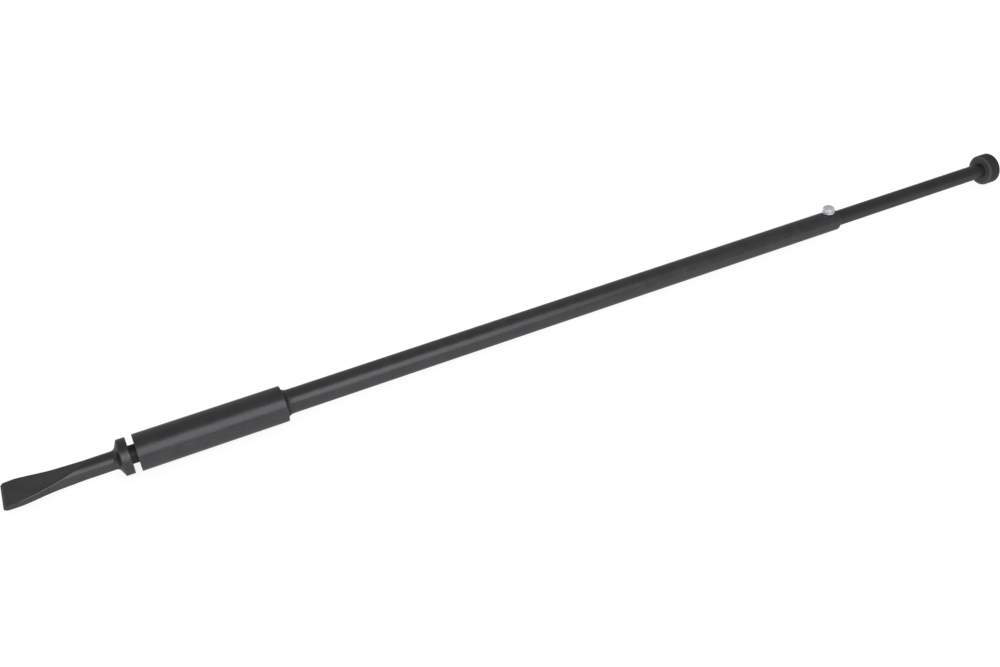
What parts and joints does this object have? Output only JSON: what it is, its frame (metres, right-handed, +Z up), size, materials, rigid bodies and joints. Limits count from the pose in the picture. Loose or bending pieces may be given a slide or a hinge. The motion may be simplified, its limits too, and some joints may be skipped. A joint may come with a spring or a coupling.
{
  "type": "slide-hammer cold chisel",
  "caption": "Long hand tool: a flat cold chisel in a round holder on a guide tube, struck by a headed rod that slides in the tube.",
  "frame": {"origin": "under the middle of the tool's length, on the level that the holder and the striking head rest on", "axes": "+X along the tool from the cutting edge to the striking head, +Z up through the stop screw, the blade's flats level"},
  "size_m": [0.8244, 0.0256, 0.0259],
  "materials": {
    "forged_black_steel": "satin",
    "phosphated_steel": "satin",
    "oiled_black_steel": "satin",
    "zinc_plated_steel": "satin"
  },
  "bodies": {
    "barrel": {"holder": "phosphated_steel", "guide_tube": "phosphated_steel", "tube_weld": "phosphated_steel", "stop_screw": "zinc_plated_steel", "grub_screw": "oiled_black_steel"},
    "chisel": {"chisel_bit": "forged_black_steel"},
    "hammer": {"striker_rod": "oiled_black_steel", "striking_head": "oiled_black_steel"}
  },
  "joints": [
    {"name": "rod_slide", "type": "slide", "parent": "barrel", "child": "hammer", "axis": [1, 0, 0], "range_m": [0, 0.25]},
    {"name": "chisel_slide", "type": "slide", "parent": "barrel", "child": "chisel", "axis": [1, 0, 0], "range_m": [0, 0.004]}
  ]
}
